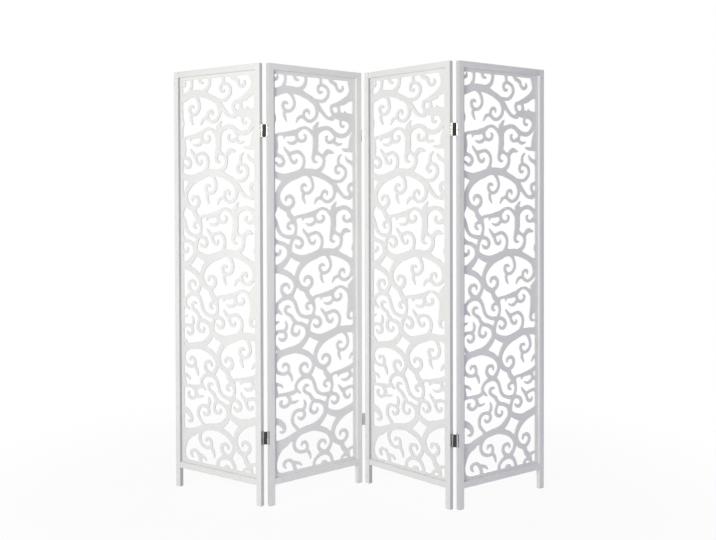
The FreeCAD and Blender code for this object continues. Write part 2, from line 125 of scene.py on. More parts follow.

# Plated metal: how often its scratches come in a metre, across and up, and how deep they are. The links: how
# rough they are, how wide the edge between barrel and web is, and the tones of both, which are painted light
# and shade: lit and shaded copies for the upper and lower hinges, a near-black web at the outer joins and a
# pale one at the middle join
SCRATCH_ACROSS, SCRATCH_UP = 2400.0, 160.0
SCRATCH_RELIEF = 0.00002
LINK_ROUGH = (0.16, 0.3)
WEB_EDGE = 0.0004
RIGHT_BARREL = "CDCDCF"
LEFT_BARRELS_LIT_AND_PAINTED_SHADE = {"upper": "CDCCCA", "lower": "ABAAAA"}
OUTER_WEBS_PAINTED_SHADE = {"upper": "3A3A3E", "lower": "46464A"}
MIDDLE_WEBS_PAINTED_LIGHT_AND_SHADE = {"upper": "D6D6D6", "lower": "B0B0B8"}

# The stage: the floor's reach, tones and fade, and the room's light
FLOOR_REACH = 14.0
FLOOR_TONE = "E6E6EC"
FLOOR_FADE = {"From Min": 0.9, "From Max": 2.2, "To Min": 0.92, "To Max": 1.0}
ROOM_TONE = "F1F1FB"
ROOM_STRENGTH = 0.46

# Lamps: place, what they aim at, width and height, watts and tone
LAMPS = {
    "softbox_front_left": ((-1.6, -3.2, 1.7), (0, 0, 0.9), (1.2, 1.2), 72.0, "FDFFF6"),
    "low_cool_fill": ((1.7, -2.9, 0.15), (0.2, 0, 0.3), (0.8, 0.3), 5.0, "9C9CFF"),
    "softbox_behind": ((0.9, 3.9, 1.9), (0, 0, 0.9), (1.6, 1.6), 70.0, "FFFFFF"),
}

# The camera that was fitted to the photograph: its place, its pitch and roll in degrees, and in pixels the
# picture's size, the focal length and the point that the lens looks straight at
CAMERA_PLACE = (-0.0050, -3.5735, 1.2460)
CAMERA_PITCH, CAMERA_ROLL = 0.861, -0.156
PICTURE_WIDTH, PICTURE_HEIGHT = 716, 540
FOCAL_LENGTH = 856.71
STRAIGHT_AHEAD = (357.12, 210.96)
SENSOR_WIDTH = 36.0

# One repeat of the scroll: (squares across, squares down, width in squares) along each stroke
SCROLL_STROKES = {
    "main stem": [
        (88, 748, 16.5), (98, 768, 20), (121, 785, 26), (158, 795, 32), (200, 787, 34), (245, 772, 31),
        (300, 773, 30), (344, 790, 24), (375, 806, 25), (400, 828, 23), (420, 851, 17.5), (444, 874, 14.5),
        (472, 880, 15.5)],
    "right stem": [(462, 880, 12.5), (485, 866, 25), (515, 866, 33), (545, 868, 36), (575, 872, 39)],
    "stem thorn": [(541, 858, 13.5), (537, 848, 8.5), (531, 842, 3.5)],
    "ring left side": [
        (490, 866, 15.5), (476, 856, 15.5), (467, 843, 15.5), (467, 830, 15.5), (474, 822, 15.5),
        (487, 819, 17.5), (506, 812, 22), (527, 803, 27), (546, 790, 27), (575, 778, 31)],
    "ring right side": [(498, 818, 15.5), (504, 834, 14.5), (504, 850, 18.5), (498, 864, 23)],
    "low curl": [
        (517, 878, 13.5), (512, 890, 13.5), (513, 901, 13.5), (519, 908, 13.5), (526, 909, 11.5),
        (531, 905, 6.5)],
    "low curl side": [(545, 876, 21), (558, 890, 18.5), (563, 908, 15.5), (556, 928, 22)],
    "wave": [
        (390, 977, 28), (391, 950, 27), (407, 931, 22), (430, 921, 18.5), (450, 920, 18.5),
        (468, 928, 18.5), (482, 940, 21), (503, 948, 20), (525, 949, 20), (543, 941, 18.5), (559, 924, 20),
        (577, 897, 21)],
    "wave curl": [
        (478, 938, 14.5), (485, 955, 13.5), (480, 970, 13.5), (466, 979, 13.5), (449, 978, 13.5),
        (441, 968, 14.5), (441, 959, 12.5), (447, 954, 7.5)],
    "wave tail": [(472, 972, 14.5), (485, 980, 14.5), (497, 987, 13.5), (510, 986, 10.5), (520, 982, 4.5)],
    "edge stem": [(586, 927, 23), (574, 955, 29), (567, 980, 30), (566, 1003, 33)],
    "edge tail": [(570, 1010, 17.5), (541, 1010, 15.5), (527, 1008, 11.5), (519, 1005, 4.5)],
    "top hook": [(451, 699, 4.5), (456, 711, 11.5), (467, 721, 15.5), (480, 726, 16.5), (491, 734, 15.5)],
    "top curl": [
        (482, 728, 13.5), (491, 740, 13.5), (496, 750, 13.5), (506, 757, 14.5), (517, 755, 14.5),
        (524, 747, 12.5), (523, 738, 8.5), (518, 735, 4.5)],
    "top side": [(562, 692, 31), (565, 720, 34), (571, 742, 32), (568, 768, 34), (549, 789, 28)],
    "big curl": [
        (385, 806, 13.5), (420, 808, 14.5), (439, 798, 14.5), (452, 778, 14.5), (450, 757, 14.5),
        (437, 744, 13.5), (419, 739, 13.5), (405, 746, 13.5), (401, 758, 14.5), (405, 768, 14.5),
        (414, 772, 12.5), (422, 767, 7.5)],
    "big curl tail": [
        (418, 739, 14.5), (415, 722, 14.5), (417, 708, 12.5), (424, 698, 9.5), (433, 692, 4.5)],
    "comma arc": [
        (303, 684, 26), (320, 693, 13.5), (336, 702, 14.5), (344, 716, 15.5), (343, 733, 16.5),
        (336, 749, 17.5), (321, 762, 18.5), (300, 770, 22)],
    "leaf hook": [
        (341, 708, 16.5), (350, 693, 18.5), (361, 683, 21), (371, 682, 18.5), (381, 685, 12.5),
        (391, 686, 5.5)],
    "post": [
        (304, 587, 29), (304, 622, 29), (304, 652, 29), (301, 677, 27), (296, 695, 21), (291, 710, 16.5),
        (294, 722, 14.5), (303, 728, 11.5), (312, 727, 5.5)],
    "post nub": [(309, 661, 11.5), (317, 662, 5.5)],
    "post spur": [(387, 937, 26), (391, 917, 18.5), (398, 904, 12.5), (405, 895, 4.5)],
    "sill": [
        (205, 966, 13.5), (215, 957, 13.5), (233, 954, 13.5), (255, 953, 20), (285, 947, 24),
        (302, 940, 20), (319, 928, 13.5), (339, 923, 12.5), (358, 930, 13.5), (372, 942, 16.5),
        (386, 957, 24)],
    "sill thorn": [(242, 956, 14.5), (243, 965, 10.5), (240, 972, 4.5)],
    "sill curl": [
        (297, 950, 17.5), (302, 966, 15.5), (310, 976, 14.5), (322, 980, 13.5), (335, 976, 13.5),
        (342, 966, 13.5), (341, 957, 11.5), (334, 952, 6.5)],
    "sill tail": [(304, 973, 14.5), (291, 986, 14.5), (277, 991, 13.5), (265, 989, 9.5), (256, 984, 4.5)],
    "fork": [
        (146, 914, 22), (171, 928, 22), (180, 948, 22), (196, 967, 25), (207, 988, 16.5), (210, 1006, 13.5),
        (206, 1024, 14.5), (200, 1040, 17.5)],
    "comma": [
        (198, 979, 15.5), (181, 981, 13.5), (172, 989, 13.5), (172, 998, 13.5), (179, 1005, 11.5),
        (186, 1007, 5.5)],
    "left side of dome": [
        (205, 787, 29), (178, 800, 28), (154, 818, 27), (136, 842, 23), (127, 868, 22), (131, 893, 24),
        (147, 914, 22), (170, 921, 18.5), (188, 914, 16.5), (198, 900, 16.5), (198, 886, 15.5),
        (192, 876, 15.5), (181, 871, 15.5), (169, 874, 14.5), (163, 882, 12.5), (164, 891, 6.5)],
    "right side of dome": [
        (381, 808, 20), (393, 832, 18.5), (397, 856, 16.5), (390, 877, 15.5), (376, 890, 14.5),
        (359, 895, 14.5), (344, 889, 13.5), (334, 878, 13.5), (333, 865, 13.5), (339, 854, 13.5),
        (350, 849, 13.5), (358, 855, 12.5), (359, 866, 6.5)],
    "dome side tail": [
        (336, 881, 14.5), (322, 878, 13.5), (309, 884, 13.5), (302, 894, 10.5), (297, 905, 4.5)],
    "dome curl": [
        (262, 777, 15.5), (278, 792, 14.5), (287, 810, 14.5), (290, 830, 14.5), (281, 849, 13.5),
        (264, 859, 13.5), (247, 856, 14.5), (238, 845, 14.5), (237, 833, 14.5), (243, 825, 14.5),
        (252, 824, 12.5), (260, 829, 6.5)],
    "dome curl tail": [
        (247, 859, 14.5), (243, 871, 14.5), (245, 882, 13.5), (250, 893, 9.5), (255, 902, 4.5)],
    "right side of arch": [
        (30, 832, 28), (62, 843, 24), (90, 856, 23), (111, 876, 20), (120, 902, 17.5), (113, 926, 17.5),
        (99, 945, 21)],
    "arch curl": [
        (96, 948, 20), (74, 943, 18.5), (60, 928, 16.5), (56, 913, 15.5), (62, 901, 15.5), (75, 895, 14.5),
        (86, 899, 13.5), (91, 908, 10.5), (91, 917, 4.5)],
    "left side of arch": [
        (0, 836, 28), (-26, 841, 26), (-47, 855, 22), (-58, 876, 17.5), (-58, 898, 15.5), (-47, 916, 15.5),
        (-28, 925, 14.5), (-9, 925, 14.5), (1, 917, 14.5), (3, 904, 13.5), (-1, 893, 13.5),
        (-11, 886, 13.5), (-22, 890, 12.5), (-25, 900, 6.5)],
    "arch tail": [(2, 922, 14.5), (12, 937, 14.5), (17, 951, 10.5), (19, 963, 4.5)],
    "left stem": [
        (-150, 880, 43), (-110, 876, 38), (-82, 863, 30), (-50, 850, 28), (-25, 839, 26), (0, 834, 27),
        (30, 831, 31), (55, 820, 27), (75, 802, 25), (89, 783, 22), (92, 762, 22), (84, 742, 18.5),
        (66, 730, 15.5)],
    "left side of heart": [
        (-36, 835, 16.5), (-50, 818, 13.5), (-63, 801, 14.5), (-67, 782, 15.5), (-62, 763, 15.5),
        (-47, 751, 14.5), (-28, 750, 14.5), (-14, 757, 14.5), (-9, 770, 14.5), (-13, 781, 14.5),
        (-24, 787, 14.5), (-34, 784, 12.5), (-40, 775, 5.5)],
    "heart tail": [(-18, 752, 14.5), (-9, 742, 14.5), (-6, 730, 13.5), (-8, 719, 10.5), (-12, 709, 4.5)],
    "crook": [
        (-27, 681, 5.5), (-37, 672, 12.5), (-48, 661, 14.5), (-50, 645, 14.5), (-41, 630, 14.5),
        (-23, 618, 16.5), (0, 612, 22), (19, 620, 18.5), (32, 635, 15.5), (39, 654, 15.5), (46, 674, 15.5),
        (57, 689, 14.5), (74, 698, 14.5), (92, 702, 17.5), (112, 702, 18.5), (130, 705, 15.5),
        (146, 712, 15.5), (155, 727, 15.5), (151, 739, 15.5), (142, 746, 15.5), (131, 745, 13.5),
        (124, 739, 10.5), (119, 732, 4.5)],
    "crook left": [
        (-44, 665, 13.5), (-66, 673, 18.5), (-88, 675, 16.5), (-115, 674, 13.5), (-150, 676, 14.5)],
    "eye curl": [
        (-92, 680, 13.5), (-81, 691, 14.5), (-77, 704, 16.5), (-84, 717, 15.5), (-98, 725, 14.5),
        (-111, 722, 15.5), (-120, 713, 15.5), (-119, 703, 13.5), (-113, 699, 7.5)],
    "eye tail": [(-79, 707, 16.5), (-66, 713, 14.5), (-52, 713, 11.5), (-38, 708, 4.5)],
    "left hook": [
        (-150, 776, 30), (-128, 784, 26), (-112, 797, 23), (-103, 811, 17.5), (-104, 822, 14.5),
        (-113, 828, 12.5), (-122, 826, 8.5)],
    "left curl": [
        (-97, 979, 6.5), (-105, 969, 12.5), (-106, 959, 14.5), (-99, 951, 14.5), (-86, 948, 13.5),
        (-74, 953, 14.5), (-65, 964, 15.5), (-58, 980, 16.5), (-53, 1003, 16.5)],
    "left curl tail": [(-66, 962, 14.5), (-46, 966, 13.5), (-32, 973, 11.5), (-23, 983, 4.5)],
    "vine": [
        (12, 655, 4.5), (6, 652, 10.5), (-3, 651, 13.5), (-11, 658, 14.5), (-12, 669, 14.5),
        (-5, 678, 13.5), (7, 686, 14.5), (18, 695, 15.5), (26, 709, 15.5), (41, 722, 16.5), (62, 728, 16.5),
        (80, 738, 18.5), (94, 753, 22)],
    "heart curl": [
        (32, 719, 14.5), (22, 735, 14.5), (18, 753, 14.5), (24, 766, 15.5), (36, 772, 15.5),
        (47, 769, 13.5), (52, 760, 11.5), (50, 751, 5.5)],
    "twig curl": [
        (155, 669, 4.5), (163, 681, 11.5), (174, 693, 14.5), (182, 706, 14.5), (187, 720, 14.5),
        (195, 730, 14.5), (205, 733, 13.5), (213, 726, 11.5), (213, 716, 5.5)],
    "twig arch": [
        (176, 698, 15.5), (195, 693, 14.5), (218, 687, 14.5), (234, 694, 14.5), (245, 707, 14.5),
        (249, 724, 14.5), (246, 744, 14.5), (238, 761, 18.5)],
    "heart wall": [(94, 760, 22), (98, 740, 17.5), (104, 720, 16.5), (114, 706, 15.5)],
    "left fall": [
        (-95, 876, 26), (-120, 889, 28), (-138, 912, 28), (-147, 945, 22), (-148, 970, 22),
        (-138, 992, 17.5), (-115, 1003, 15.5)],
}


def ahead(heading, distance):
    """The step of a length along a heading in degrees, in plan."""
    return np.array([math.cos(math.radians(heading)), math.sin(math.radians(heading))]) * distance


def standing_places():
    """Where each panel's centre line starts and each pin stands in plan, along the zigzag, centred."""
    starts, pins = [], []
    here = np.zeros(2)
    for i, heading in enumerate(PANEL_HEADINGS):
        starts.append(here)
        here = here + ahead(heading, PANEL_WIDTH)
        if i + 1 < len(PANEL_HEADINGS):
            link_heading = (heading + PANEL_HEADINGS[i + 1]) / 2
            first = here + ahead(heading, PIN_STANDOFF)
            second = first + ahead(link_heading, PIN_SPACING)
            pins.append((first, second))
            here = second + ahead(PANEL_HEADINGS[i + 1], PIN_STANDOFF)
    corners = np.array([start + ahead(heading, along) + ahead(heading + 90, side)
                        for start, heading in zip(starts, PANEL_HEADINGS)
                        for along in (0, PANEL_WIDTH)
                        for side in (-FRAME_THICKNESS / 2, FRAME_THICKNESS / 2)])
    middle = (corners.min(0) + corners.max(0)) / 2
    return [start - middle for start in starts], [(first - middle, second - middle) for first, second in pins]


STARTS, PINS = standing_places()


def panel_points(points, panel):
    """Panel coordinates (along, back, up) turned by the panel's heading and moved to where it stands."""
    along, back, up = np.asarray(points, float).T
    direction = ahead(PANEL_HEADINGS[panel], 1.0)
    x = STARTS[panel][0] + along * direction[0] - back * direction[1]
    y = STARTS[panel][1] + along * direction[1] + back * direction[0]
    return np.stack([x, y, up], 1)


def made(name, points, faces, body, material):
    """A mesh object at the origin with its place in its mesh, smooth but for its sharp edges."""
    mesh = bpy.data.meshes.new(name)
    mesh.from_pydata(np.asarray(points, float).tolist(), [], faces)
    mesh.validate()
    mesh.update()
    mesh.polygons.foreach_set("use_smooth", np.ones(len(mesh.polygons), bool))
    mesh.set_sharp_from_angle(angle=SCREW_SMOOTH_BELOW)
    mesh.materials.append(material)
    thing = bpy.data.objects.new(name, mesh)
    bpy.context.scene.collection.objects.link(thing)
    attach(thing, body)
    return thing


# Materials
def colour(text):
    """An sRGB hex colour as linear red, green, blue and alpha."""
    value = np.array([int(text[k:k + 2], 16) for k in (0, 2, 4)]) / 255
    linear = np.where(value <= 0.04045, value / 12.92, ((value + 0.055) / 1.055) ** 2.4)
    return (*linear.tolist(), 1.0)


def add(tree, kind, inputs=None, **settings):
    """A node of the kind, with its settings and its inputs set or linked; gives back the node."""
    found = tree.nodes.new(kind)
    for name, value in settings.items():
        setattr(found, name, value)
    for name, value in (inputs or {}).items():
        if isinstance(value, bpy.types.NodeSocket):
            tree.links.new(value, found.inputs[name])
        else:
            found.inputs[name].default_value = value
    return found


def mixed(tree, share, first, second):
    """The socket of a colour that goes from the first to the second with the share."""
    return add(tree, "ShaderNodeMix", {0: share, 6: first, 7: second}, data_type="RGBA").outputs[2]


def shaded(name):
    """A new material's node tree, emptied, with its surface shader and its Object coordinates."""
    material = bpy.data.materials.new(name)
    material.use_nodes = True
    tree = material.node_tree
    tree.nodes.clear()
    surface = add(tree, "ShaderNodeBsdfPrincipled")
    add(tree, "ShaderNodeOutputMaterial", {"Surface": surface.outputs[0]})
    place = add(tree, "ShaderNodeTexCoord").outputs["Object"]
    return material, tree, surface, place


def satin_lacquer(name, turn=0.0, lying=False, ripple=BRUSHED_RIPPLE, panel=None):
    """Satin white lacquer brushed over sanded wood: a calm sheen, faint long ripples along the grain where
    the brush ran, and a fine orange peel. The turn and lying lay the ripples along the piece. On the stiles
    of a panel, painted shade greys the left one's wall beside the board and the edges that the hinges sit in."""
    material, tree, surface, place = shaded(name)
    turned = add(tree, "ShaderNodeMapping", {"Vector": place, "Rotation": (0.0, 0.0, -math.radians(turn))})
    stretch = [BRUSH_ACROSS] * 3
    stretch[0 if lying else 2] = BRUSH_ALONG
    along_grain = add(tree, "ShaderNodeMapping", {"Vector": turned.outputs[0], "Scale": stretch})
    brush = add(tree, "ShaderNodeTexNoise", {"Vector": along_grain.outputs[0], "Scale": 1.0, "Detail": 3.0,
                                             "Roughness": 0.55})
    cloud = add(tree, "ShaderNodeTexNoise", {"Vector": place, "Scale": CLOUDS, "Detail": 2.0})
    peel = add(tree, "ShaderNodeTexNoise", {"Vector": place, "Scale": PEEL, "Detail": 1.0})
    light, shade = LACQUER_TONES
    tint = mixed(tree, cloud.outputs["Fac"], colour(light), colour(shade))
    if panel is not None:
        start = (*STARTS[panel], 0.0)
        direction = (*ahead(PANEL_HEADINGS[panel], 1.0), 0.0)
        offset = add(tree, "ShaderNodeVectorMath", {0: place, 1: start}, operation="SUBTRACT")
        along = add(tree, "ShaderNodeVectorMath", {0: offset.outputs[0], 1: direction},
                    operation="DOT_PRODUCT").outputs["Value"]
        # Painted shade: greyer bands on the left stile's wall beside the board and on both edges at the
        # hinges
        for place_along, painted_shade_tone in PAINTED_SHADE_ON_STILES:
            there = add(tree, "ShaderNodeMath", {0: along, 1: place_along, 2: PAINTED_SHADE_REACH},
                        operation="COMPARE")
            tint = mixed(tree, there.outputs[0], tint, colour(painted_shade_tone))
    low, high = LACQUER_ROUGH
    sheen = add(tree, "ShaderNodeMapRange", {"Value": brush.outputs["Fac"], "To Min": low, "To Max": high})
    swell = add(tree, "ShaderNodeBump", {"Height": brush.outputs["Fac"], "Strength": 0.35,
                                         "Distance": ripple})
    skin = add(tree, "ShaderNodeBump", {"Height": peel.outputs["Fac"], "Strength": 0.25,
                                        "Distance": PEEL_RELIEF, "Normal": swell.outputs[0]})
    surface.inputs["IOR"].default_value = 1.5
    tree.links.new(tint, surface.inputs["Base Color"])
    tree.links.new(sheen.outputs[0], surface.inputs["Roughness"])
    tree.links.new(skin.outputs[0], surface.inputs["Normal"])
    return material


def bright_nickel(name, body, rough):
    """Bright plate on stamped steel: a mirror that is dulled by fine cross scratches from handling."""
    material, tree, surface, place = shaded(name)
    scale = (SCRATCH_ACROSS, SCRATCH_ACROSS, SCRATCH_UP)
    streak = add(tree, "ShaderNodeMapping", {"Vector": place, "Scale": scale})
    scratches = add(tree, "ShaderNodeTexNoise", {"Vector": streak.outputs[0], "Scale": 1.0, "Detail": 2.0})
    dulled = add(tree, "ShaderNodeMapRange", {"Value": scratches.outputs["Fac"], "To Min": rough[0],
                                              "To Max": rough[1]})
    relief = add(tree, "ShaderNodeBump", {"Height": scratches.outputs["Fac"], "Strength": 0.2,
                                          "Distance": SCRATCH_RELIEF})
    surface.inputs["Base Color"].default_value = colour(body)
    surface.inputs["Metallic"].default_value = 1.0
    tree.links.new(dulled.outputs[0], surface.inputs["Roughness"])
    tree.links.new(relief.outputs[0], surface.inputs["Normal"])
    return material


def link_finish(name, join, left, right, web):
    """A hinge link: a plated barrel round each of its join's two pins, and the web between them, with
    painted light and shade in their tones that differ by join and level.
    """
    material = bright_nickel(name, web, LINK_ROUGH)
    tree = material.node_tree
    place = add(tree, "ShaderNodeTexCoord").outputs["Object"]
    away = []
    for pin in PINS[join]:
        offset = add(tree, "ShaderNodeVectorMath", {0: place, 1: (*pin, 0.0)}, operation="SUBTRACT")
        flat = add(tree, "ShaderNodeVectorMath", {0: offset.outputs[0], 1: (1.0, 1.0, 0.0)},
                   operation="MULTIPLY")
        length = add(tree, "ShaderNodeVectorMath", {0: flat.outputs[0]}, operation="LENGTH")
        away.append(length.outputs["Value"])
    # Painted light and shade: the left barrel is darker on the lower hinges, and the web is near-black or
    # pale by join
    at_right = add(tree, "ShaderNodeMath", {0: away[1], 1: away[0]}, operation="LESS_THAN")
    barrel = mixed(tree, at_right.outputs[0], colour(left), colour(right))
    near = add(tree, "ShaderNodeMath", {0: away[0], 1: away[1]}, operation="MINIMUM")
    edge = add(tree, "ShaderNodeMapRange", {"Value": near.outputs[0], "From Min": BARREL_RADIUS,
                                            "From Max": BARREL_RADIUS + WEB_EDGE})
    surface = next(node for node in tree.nodes if node.type == "BSDF_PRINCIPLED")
    tree.links.new(mixed(tree, edge.outputs[0], barrel, colour(web)), surface.inputs["Base Color"])
    return material


# The stiles' lacquer carries painted shade on the wall beside the board and on the edges at the hinges
STILE_LACQUERS_WITH_PAINTED_SHADE = [satin_lacquer("satin_lacquer_on_stiles_%d" % (i + 1), panel=i)
                  for i in range(len(PANEL_HEADINGS))]
RAIL_LACQUERS = [satin_lacquer("satin_lacquer_on_rails_%d" % (i + 1), turn=heading, lying=True)
                 for i, heading in enumerate(PANEL_HEADINGS)]
BOARD_LACQUER = satin_lacquer("sprayed_lacquer_on_fretwork", ripple=SPRAYED_RIPPLE)
BRIGHT_LEAF_NICKEL = bright_nickel("bright_nickel_on_leaves", "CDCCCA", (0.14, 0.28))
# The lower left leaves are rougher from handling, and their darker plate is painted shade
WORN_LEAF_NICKEL_WITH_PAINTED_SHADE = bright_nickel("handled_nickel_with_painted_shade_on_lower_left_leaves", "ABAAAA", (0.2, 0.34))
# Lit and shaded copies of one link plate: painted light and shade by join and level
LINK_FINISHES = {}
for join, webs in enumerate((OUTER_WEBS_PAINTED_SHADE, MIDDLE_WEBS_PAINTED_LIGHT_AND_SHADE, OUTER_WEBS_PAINTED_SHADE)):
    for level, left in LEFT_BARRELS_LIT_AND_PAINTED_SHADE.items():
        name = "plated_link_%d_%s" % (join + 1, level)
        LINK_FINISHES[join, level] = link_finish(name, join, left, RIGHT_BARREL, webs[level])
PIN_STEEL = bright_nickel("turned_steel_pins", "6A6A6C", (0.25, 0.4))
SCREW_ZINC = bright_nickel("bright_zinc_on_screws", "B9BABC", (0.2, 0.36))


# The scroll board
def stroke_samples(places):
    """Centres and half widths along the smooth curve through the places: each span is the cubic that leaves
    a place in the direction of the line between its two neighbours."""
    run = np.array([2 * np.array(places[0]) - places[1]] + [list(p) for p in places]
                   + [2 * np.array(places[-1]) - places[-2]], float)
    a, b, c, d = run[:-3, None], run[1:-2, None], run[2:-1, None], run[3:, None]
    t = np.linspace(0, 1, STEPS_PER_SPAN, endpoint=False)[None, :, None]
    spans = (2 * b + (c - a) * t + (2 * a - 5 * b + 4 * c - d) * t ** 2
             + (3 * b - a - 3 * c + d) * t ** 3) / 2
    samples = np.concatenate([spans.reshape(-1, 3), run[-2:-1]])
    centres = samples[:, :2] * SQUARE + [0, SCREEN_HEIGHT]
    return centres, np.maximum(samples[:, 2] * -SQUARE[1], LEAST_STROKE) / 2


def scroll_field(along, up):
    """Distance to the wood's edge on the grid of (along, up), negative in the wood. A stroke's distance is
    that to the nearest piece of its centre line less the half width there, the border's is that to the
    window's sides, and the wood is wherever the least of them is negative."""
    field = np.minimum(np.minimum(along[:, None] - WINDOW_LEFT, WINDOW_RIGHT - along[:, None]),
                       np.minimum(up[None, :] - WINDOW_BOTTOM, WINDOW_TOP - up[None, :]))
    for places in SCROLL_STROKES.values():
        line, half = stroke_samples(places)
        for repeat in REPEATS:
            centres = line + MOVED * SQUARE + repeat * (REPEAT_STEP * SQUARE)
            reach = half.max() + STROKE_MARGIN
            low, high = centres.min(0) - reach, centres.max(0) + reach
            i0, i1 = np.searchsorted(along, [low[0], high[0]])
            j0, j1 = np.searchsorted(up, [low[1], high[1]])
            if i1 - i0 < 2 or j1 - j0 < 2:
                continue
            here = np.stack(np.meshgrid(along[i0:i1], up[j0:j1], indexing="ij"), -1)[:, :, None]
            start, along_line = centres[:-1], np.diff(centres, axis=0)
            share = ((here - start) * along_line).sum(-1) / (along_line ** 2).sum(-1)
            share = np.clip(share, 0, 1)
            away = np.linalg.norm(here - start - share[..., None] * along_line, axis=-1)
            away -= half[:-1] + share * np.diff(half)
            field[i0:i1, j0:j1] = np.minimum(field[i0:i1, j0:j1], away.min(-1))
    return field


def softened(field, radius):
    """The field averaged with a bell curve of that radius along each axis, out to three radii, which rounds
    corners as a saw does."""
    reach = int(math.ceil(3 * radius / GRID_STEP))
    bell = np.exp(-0.5 * (np.arange(-reach, reach + 1) * GRID_STEP / radius) ** 2)
    bell /= bell.sum()
    for axis in (0, 1):
        pad = [(reach, reach) if k == axis else (0, 0) for k in (0, 1)]
        padded = np.pad(field, pad, mode="edge")
        size = field.shape[axis]
        field = sum(w * np.take(padded, range(k, k + size), axis=axis) for k, w in enumerate(bell))
    return field


def edge_line(field, along, up):
    """The line where the field is zero, as points and pairs of points: a point where each grid edge changes
    sign, in proportion, and in each cell a line between them that keeps the wood on its left."""
    wood = field < 0
    across_cut = wood[:-1] != wood[1:]
    up_cut = wood[:, :-1] != wood[:, 1:]
    number_across = np.full(across_cut.shape, -1)
    number_across[across_cut] = np.arange(across_cut.sum())
    number_up = np.full(up_cut.shape, -1)
    number_up[up_cut] = across_cut.sum() + np.arange(up_cut.sum())
    i, j = np.nonzero(across_cut)
    share = field[i, j] / (field[i, j] - field[i + 1, j])
    points = [np.stack([along[i] + share * GRID_STEP, up[j]], 1)]
    i, j = np.nonzero(up_cut)
    share = field[i, j] / (field[i, j] - field[i, j + 1])
    points.append(np.stack([along[i], up[j] + share * GRID_STEP], 1))
    low, high = number_across[:, :-1], number_across[:, 1:]
    left, right = number_up[:-1], number_up[1:]
    corner = (wood[:-1, :-1] * 1 + wood[1:, :-1] * 2 + wood[1:, 1:] * 4 + wood[:-1, 1:] * 8)
    middle = field[:-1, :-1] + field[1:, :-1] + field[1:, 1:] + field[:-1, 1:] < 0
    ways = {1: [(low, left)], 2: [(right, low)], 4: [(high, right)], 8: [(left, high)],
            3: [(right, left)], 6: [(high, low)], 12: [(left, right)], 9: [(low, high)],
            7: [(high, left)], 14: [(left, low)], 13: [(low, right)], 11: [(right, high)]}
    pairs = [np.stack([a[corner == code], b[corner == code]], 1)
             for code, cuts in ways.items() for a, b in cuts]
    for code, joined, apart in ((5, [(low, right), (high, left)], [(low, left), (high, right)]),
                                (10, [(right, high), (left, low)], [(right, low), (left, high)])):
        for where, cuts in (((corner == code) & middle, joined), ((corner == code) & ~middle, apart)):
            pairs += [np.stack([a[where], b[where]], 1) for a, b in cuts]
    return np.concatenate(points), np.concatenate(pairs)


def sampled(field, along, up, points):
    """The field at points between the grid's places, in proportion to the four around each."""
    s = (points - [along[0], up[0]]) / GRID_STEP
    cell = np.clip(np.floor(s).astype(int), 0, np.array(field.shape) - 2)
    u, v = (s - cell).T
    i, j = cell.T
    return (field[i, j] * (1 - u) * (1 - v) + field[i + 1, j] * u * (1 - v)
            + field[i, j + 1] * (1 - u) * v + field[i + 1, j + 1] * u * v)


def scroll_board_shape():
    """Points (along, back, up) and faces of the cut-out board. Its wall is a profile of four points, eased
    at front and back, carried along the zero line of the field; its faces fill what the inner profile
    points enclose."""
    margin = GRID_MARGIN * GRID_STEP
    along = np.arange(BOARD_LEFT - margin, BOARD_RIGHT + margin, GRID_STEP)
    up = np.arange(BOARD_BOTTOM - margin, BOARD_TOP + margin, GRID_STEP)
    field = softened(scroll_field(along, up), CORNER_ROUNDING)
    outside = np.maximum(np.maximum(BOARD_LEFT - along[:, None], along[:, None] - BOARD_RIGHT),
                         np.maximum(BOARD_BOTTOM - up[None, :], up[None, :] - BOARD_TOP))
    field = np.maximum(field, outside)
    line, pairs = edge_line(field, along, up)
    slope_along, slope_up = np.gradient(field, GRID_STEP)
    slope = np.stack([sampled(slope_along, along, up, line), sampled(slope_up, along, up, line)], 1)
    slope /= np.maximum(np.linalg.norm(slope, axis=1, keepdims=True), 1e-9)
    inset = line - slope * EASED_EDGE
    rings = [(inset, BOARD_FRONT), (line, BOARD_FRONT + EASED_EDGE),
             (line, BOARD_BACK - EASED_EDGE), (inset, BOARD_BACK)]
    count = len(line)
    wall = np.concatenate([np.stack([ring[:, 0], np.full(count, back), ring[:, 1]], 1)
                           for ring, back in rings])
    a, b = pairs.T
    faces = []
    for k in range(len(rings) - 1):
        near, far = k * count, (k + 1) * count
        faces += np.stack([a + near, a + far, b + far, b + near], 1).tolist()
    cap_points, _, cap_faces, _, _, _ = geometry.delaunay_2d_cdt(
        [Vector(p) for p in inset], [tuple(p) for p in pairs.tolist()], [], 0, SAME_POINT)
    flat = np.array([list(p) for p in cap_points])
    caps = np.array(cap_faces)
    caps = caps[sampled(field, along, up, flat[caps].mean(1)) < -EASED_EDGE * CAP_SHARE]
    front = np.stack([flat[:, 0], np.full(len(flat), BOARD_FRONT), flat[:, 1]], 1)
    faces += (caps + len(wall)).tolist()
    faces += (caps[:, ::-1] + len(wall) + len(flat)).tolist()
    return np.concatenate([wall, front, front + [0, BOARD_THICKNESS, 0]]), faces


def make_scroll_boards():
    """The cut-out boards: one shape, standing in each of the four panels."""
    shape, faces = scroll_board_shape()
    for panel in range(len(PANEL_HEADINGS)):
        name = "fretwork_%d" % (panel + 1)
        mesh = bpy.data.meshes.new(name)
        mesh.from_pydata(panel_points(shape, panel).tolist(), [], faces)
        work = bmesh.new()
        work.from_mesh(mesh)
        bmesh.ops.remove_doubles(work, verts=work.verts, dist=MERGED_POINTS)
        work.to_mesh(mesh)
        work.free()
        mesh.polygons.foreach_set("use_smooth", np.ones(len(mesh.polygons), bool))
        mesh.set_sharp_from_angle(angle=BOARD_SMOOTH_BELOW)
        mesh.materials.append(BOARD_LACQUER)
        board = bpy.data.objects.new(name, mesh)
        bpy.context.scene.collection.objects.link(board)
        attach(board, "panel_%d" % (panel + 1))
        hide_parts("panel_%d_scroll_board" % (panel + 1))


make_scroll_boards()


